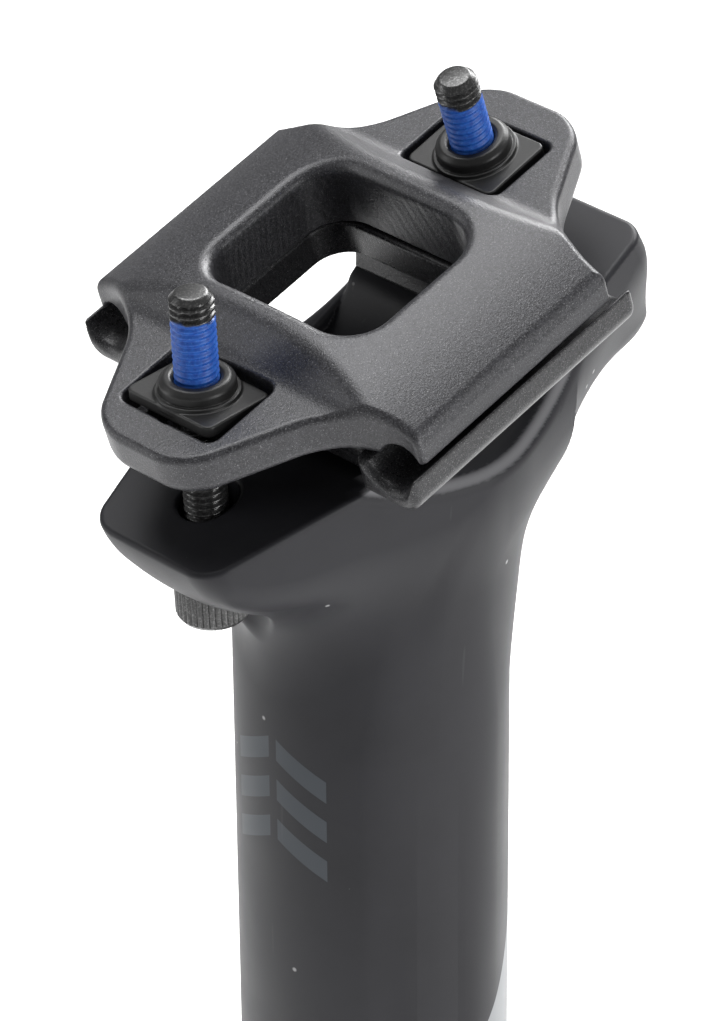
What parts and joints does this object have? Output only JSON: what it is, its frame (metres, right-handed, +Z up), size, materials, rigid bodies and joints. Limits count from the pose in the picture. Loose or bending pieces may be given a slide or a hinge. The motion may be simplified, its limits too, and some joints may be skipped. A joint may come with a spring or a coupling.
{
  "type": "suspension seatpost",
  "caption": "Telescopic seatpost: a sleeve with a tilting saddle-rail clamp on its angled head slides on a sprung tube that goes in the frame.",
  "frame": {"origin": "on the post axis at the lower end of the insertion tube", "axes": "+Z up along the post axis; +X towards the front of the bicycle, where the clamp's lower bolt is; +Y towards the rider's left"},
  "size_m": [0.0714, 0.0514, 0.3718],
  "materials": {
    "tube_anodised": "satin black anodised",
    "head_anodised": "smooth matte black anodised",
    "satin_aluminium": "satin black, slightly grained",
    "blasted_aluminium": "bead blasted, anodised dark grey",
    "grey_aluminium": "turned",
    "black_steel": "black oxide, thread-locking patch on the bolts",
    "plain_steel": "plain",
    "bronze": "turned",
    "black_rubber": "matte",
    "black_plastic": "moulded",
    "ivory_plastic": "moulded",
    "liner_plastic": "self-lubricating liner"
  },
  "bodies": {
    "lower_tube": {"lower_tube": "tube_anodised", "guide_plug": "bronze", "slide_ring": "ivory_plastic", "guide_keys": "bronze", "stop_ring": "plain_steel", "main_spring": "plain_steel"},
    "preload_seat": {"spring_seat": "black_plastic"},
    "preload_plug": {"preload_plug": "grey_aluminium", "plug_o_ring": "black_rubber"},
    "upper": {"post_head": "head_anodised", "push_rod": "grey_aluminium", "spring_cap": "black_plastic", "sleeve_bush": "liner_plastic", "topout_bumper": "black_rubber", "bottom_bumper": "black_rubber", "wiper_seal": "black_rubber", "collar": "tube_anodised"},
    "saddle_clamp": {"lower_cradle": "satin_aluminium", "top_clamp": "blasted_aluminium"},
    "front_washer": {"front_washer": "plain_steel"},
    "front_bolt": {"front_bolt": "black_steel"},
    "front_nut": {"front_nut": "black_steel"},
    "rear_washer": {"rear_washer": "plain_steel"},
    "rear_bolt": {"rear_bolt": "black_steel"},
    "rear_nut": {"rear_nut": "black_steel"}
  },
  "joints": [
    {"name": "suspension_travel", "type": "slide", "parent": "lower_tube", "child": "upper", "axis": [0, 0, 1], "range_m": [-0.04, 0], "stiffness_N_per_m": 14000, "springref_m": 0.01, "deforming": ["main_spring"]},
    {"name": "preload_travel", "type": "slide", "parent": "lower_tube", "child": "preload_seat", "axis": [0, 0, 1], "range_m": [0, 0.01], "deforming": ["main_spring"]},
    {"name": "preload_turn", "type": "hinge", "parent": "preload_seat", "child": "preload_plug", "pos_m": [0, 0, 0.011], "axis": [0, 0, 1], "range_deg": [0, 2881]},
    {"name": "saddle_tilt", "type": "hinge", "parent": "upper", "child": "saddle_clamp", "pos_m": [0.00346, 0, 0.35967], "axis": [0, 1, 0], "range_deg": [-7, 7]},
    {"name": "front_bolt_pivot", "type": "hinge", "parent": "upper", "child": "front_washer", "pos_m": [0.02423, 0, 0.32007], "axis": [0, 1, 0], "range_deg": [-3, 3]},
    {"name": "front_bolt_turn", "type": "hinge", "parent": "front_washer", "child": "front_bolt", "pos_m": [0.02564, 0, 0.34703], "axis": [0.0523, 0, 0.9986], "range_deg": [-1255, 1255]},
    {"name": "front_nut_travel", "type": "slide", "parent": "front_washer", "child": "front_nut", "axis": [0.0523, 0, 0.9986], "range_m": [-0.0028, 0.0028]},
    {"name": "rear_bolt_pivot", "type": "hinge", "parent": "upper", "child": "rear_washer", "pos_m": [-0.02607, 0, 0.33315], "axis": [0, 1, 0], "range_deg": [-1.5, 1.5]},
    {"name": "rear_bolt_turn", "type": "hinge", "parent": "rear_washer", "child": "rear_bolt", "pos_m": [-0.0172, 0, 0.36013], "axis": [0.3123, 0, 0.95], "range_deg": [-1090, 1090]},
    {"name": "rear_nut_travel", "type": "slide", "parent": "rear_washer", "child": "rear_nut", "axis": [0.3123, 0, 0.95], "range_m": [-0.00245, 0.00245]}
  ],
  "couplings": [
    {"joint": "preload_turn", "follows": "preload_travel", "rad_per_m": 5026.5},
    {"joint": "front_bolt_turn", "follows": "saddle_tilt", "ratio": 179.11},
    {"joint": "front_bolt_pivot", "follows": "saddle_tilt", "ratio": -0.42435},
    {"joint": "front_nut_travel", "follows": "saddle_tilt", "m_per_rad": -0.022806},
    {"joint": "rear_bolt_pivot", "follows": "saddle_tilt", "ratio": -0.21181},
    {"joint": "rear_nut_travel", "follows": "saddle_tilt", "m_per_rad": 0.019778},
    {"joint": "rear_bolt_turn", "follows": "saddle_tilt", "ratio": -155.34}
  ]
}
